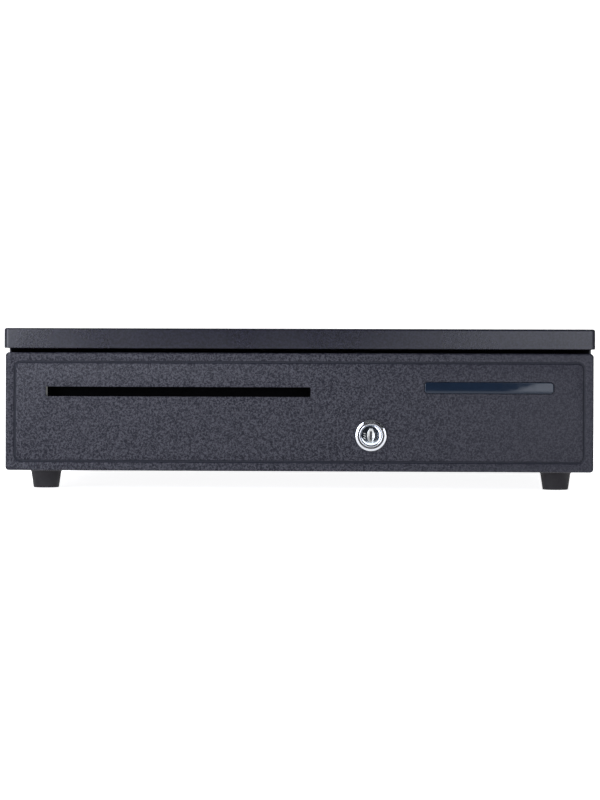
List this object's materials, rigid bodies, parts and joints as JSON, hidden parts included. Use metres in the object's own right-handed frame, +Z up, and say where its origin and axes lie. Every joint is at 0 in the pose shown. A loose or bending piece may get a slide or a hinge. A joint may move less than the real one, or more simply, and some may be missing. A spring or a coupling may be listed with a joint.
{
  "type": "cash drawer",
  "caption": "Flat steel cash drawer with a pull-out till of note and coin compartments, a key lock in the front and a slot for slips.",
  "frame": {"origin": "on the table under the middle of the cover", "axes": "+Z up; the drawer's front faces -Y and the drawer opens towards -Y; +X is to the right of a person facing the front"},
  "size_m": [0.41, 0.4177, 0.1121],
  "materials": {
    "black_powder_coat": "satin black powder coat",
    "wrinkle_powder_coat": "fine wrinkle black powder coat",
    "zinc_plated_steel": "zinc plated, satin",
    "bright_zinc": "bright zinc",
    "chrome": "polished",
    "rubber": "matte",
    "black_abs": "moulded, matte",
    "gloss_navy": "glossy",
    "white_nylon": "matte",
    "coil_tape": "wound tape",
    "grey_cable": "matte"
  },
  "bodies": {
    "case": {"base_pan": "black_powder_coat", "back_panel": "black_powder_coat", "top_cover": "black_powder_coat", "foot_front_left": "rubber", "foot_front_right": "rubber", "foot_rear_left": "rubber", "foot_rear_right": "rubber", "case_rail_left": "zinc_plated_steel", "case_rail_right": "zinc_plated_steel", "front_roller_pin_left": "bright_zinc", "front_roller_pin_right": "bright_zinc", "latch_bracket": "zinc_plated_steel", "latch_pivot": "bright_zinc", "solenoid_frame": "zinc_plated_steel", "solenoid_coil": "coil_tape", "plunger_spring": "bright_zinc", "ejector_bracket": "zinc_plated_steel", "ejector_spring": "bright_zinc", "microswitch": "black_abs", "cable_socket": "black_abs", "solenoid_lead": "grey_cable", "switch_lead": "grey_cable"},
    "drawer": {"drawer_box": "black_powder_coat", "front_panel": "wrinkle_powder_coat", "name_plate": "gloss_navy", "slot_hood": "black_abs", "striker": "zinc_plated_steel", "lock_body": "chrome", "lock_nut": "bright_zinc", "drawer_rail_left": "zinc_plated_steel", "drawer_rail_right": "zinc_plated_steel", "rear_roller_pin_left": "bright_zinc", "rear_roller_pin_right": "bright_zinc", "release_lever_rivet": "bright_zinc", "till_tray": "black_abs", "coin_tray": "black_abs", "clip_shaft": "bright_zinc", "clip_spring_1": "bright_zinc", "clip_spring_2": "bright_zinc", "clip_spring_3": "bright_zinc", "clip_spring_4": "bright_zinc", "clip_spring_5": "bright_zinc"},
    "front_roller_left": {"front_roller_left": "white_nylon"},
    "front_roller_right": {"front_roller_right": "white_nylon"},
    "rear_roller_left": {"rear_roller_left": "white_nylon"},
    "rear_roller_right": {"rear_roller_right": "white_nylon"},
    "lock": {"lock_plug": "chrome", "lock_cam": "zinc_plated_steel", "lock_cam_screw": "bright_zinc"},
    "release_lever": {"release_lever": "zinc_plated_steel"},
    "latch": {"latch_lever": "zinc_plated_steel"},
    "plunger": {"solenoid_plunger": "bright_zinc"},
    "ejector": {"ejector_pusher": "black_abs", "ejector_clip": "bright_zinc"},
    "switch_leaf": {"microswitch_leaf": "bright_zinc"},
    "bill_clip_1": {"bill_clip_1": "black_abs"},
    "bill_clip_2": {"bill_clip_2": "black_abs"},
    "bill_clip_3": {"bill_clip_3": "black_abs"},
    "bill_clip_4": {"bill_clip_4": "black_abs"},
    "bill_clip_5": {"bill_clip_5": "black_abs"}
  },
  "joints": [
    {"name": "drawer_slide", "type": "slide", "parent": "case", "child": "drawer", "axis": [0, -1, 0], "range_m": [0, 0.27]},
    {"name": "front_roller_left_spin", "type": "hinge", "parent": "case", "child": "front_roller_left", "pos_m": [-0.1949, -0.183, 0.0371], "axis": [1, 0, 0], "continuous": true},
    {"name": "front_roller_right_spin", "type": "hinge", "parent": "case", "child": "front_roller_right", "pos_m": [0.1949, -0.183, 0.0371], "axis": [1, 0, 0], "continuous": true},
    {"name": "rear_roller_left_spin", "type": "hinge", "parent": "drawer", "child": "rear_roller_left", "pos_m": [-0.1943, 0.14, 0.0371], "axis": [1, 0, 0], "continuous": true},
    {"name": "rear_roller_right_spin", "type": "hinge", "parent": "drawer", "child": "rear_roller_right", "pos_m": [0.1943, 0.14, 0.0371], "axis": [1, 0, 0], "continuous": true},
    {"name": "lock_turn", "type": "hinge", "parent": "drawer", "child": "lock", "pos_m": [0.0503, -0.2075, 0.0383], "axis": [0, 1, 0], "range_deg": [-90, 90]},
    {"name": "release_lever_swing", "type": "hinge", "parent": "drawer", "child": "release_lever", "pos_m": [0.02403, -0.03194, 0.0226], "axis": [0, 0, 1], "range_deg": [-2.83, 2.83]},
    {"name": "latch_swing", "type": "hinge", "parent": "case", "child": "latch", "pos_m": [0, 0.188, 0.0291], "axis": [0, 0, 1], "range_deg": [-14, 0], "stiffness_Nm_per_rad": 0.08, "springref_deg": -34.38},
    {"name": "plunger_slide", "type": "slide", "parent": "case", "child": "plunger", "axis": [1, 0, 0], "range_m": [-0.0039, 0], "deforming": ["plunger_spring"]},
    {"name": "ejector_slide", "type": "slide", "parent": "case", "child": "ejector", "axis": [0, -1, 0], "range_m": [0, 0.019], "deforming": ["ejector_spring"]},
    {"name": "switch_leaf_swing", "type": "hinge", "parent": "case", "child": "switch_leaf", "pos_m": [0.067, 0.1569, 0.0192], "axis": [0, 0, -1], "range_deg": [0, 8]},
    {"name": "bill_clip_1_lift", "type": "hinge", "parent": "drawer", "child": "bill_clip_1", "pos_m": [-0.14704, 0.1342, 0.0721], "axis": [-1, 0, 0], "range_deg": [0, 38], "stiffness_Nm_per_rad": 0.05, "springref_deg": -28.65},
    {"name": "bill_clip_2_lift", "type": "hinge", "parent": "drawer", "child": "bill_clip_2", "pos_m": [-0.07352, 0.1342, 0.0721], "axis": [-1, 0, 0], "range_deg": [0, 38], "stiffness_Nm_per_rad": 0.05, "springref_deg": -28.65},
    {"name": "bill_clip_3_lift", "type": "hinge", "parent": "drawer", "child": "bill_clip_3", "pos_m": [0, 0.1342, 0.0721], "axis": [-1, 0, 0], "range_deg": [0, 38], "stiffness_Nm_per_rad": 0.05, "springref_deg": -28.65},
    {"name": "bill_clip_4_lift", "type": "hinge", "parent": "drawer", "child": "bill_clip_4", "pos_m": [0.07352, 0.1342, 0.0721], "axis": [-1, 0, 0], "range_deg": [0, 38], "stiffness_Nm_per_rad": 0.05, "springref_deg": -28.65},
    {"name": "bill_clip_5_lift", "type": "hinge", "parent": "drawer", "child": "bill_clip_5", "pos_m": [0.14704, 0.1342, 0.0721], "axis": [-1, 0, 0], "range_deg": [0, 38], "stiffness_Nm_per_rad": 0.05, "springref_deg": -28.65}
  ],
  "couplings": [
    {"joint": "front_roller_left_spin", "follows": "drawer_slide", "rad_per_m": 113.64},
    {"joint": "front_roller_right_spin", "follows": "drawer_slide", "rad_per_m": 113.64},
    {"joint": "rear_roller_left_spin", "follows": "drawer_slide", "rad_per_m": 113.64},
    {"joint": "rear_roller_right_spin", "follows": "drawer_slide", "rad_per_m": 113.64},
    {"joint": "release_lever_swing", "follows": "lock_turn", "ratio": -0.03119},
    {"joint": "latch_swing", "follows": "plunger_slide", "rad_per_m": 62.65},
    {"joint": "ejector_slide", "follows": "drawer_slide", "ratio": 0.07037},
    {"joint": "switch_leaf_swing", "follows": "drawer_slide", "rad_per_m": 0.5171}
  ]
}
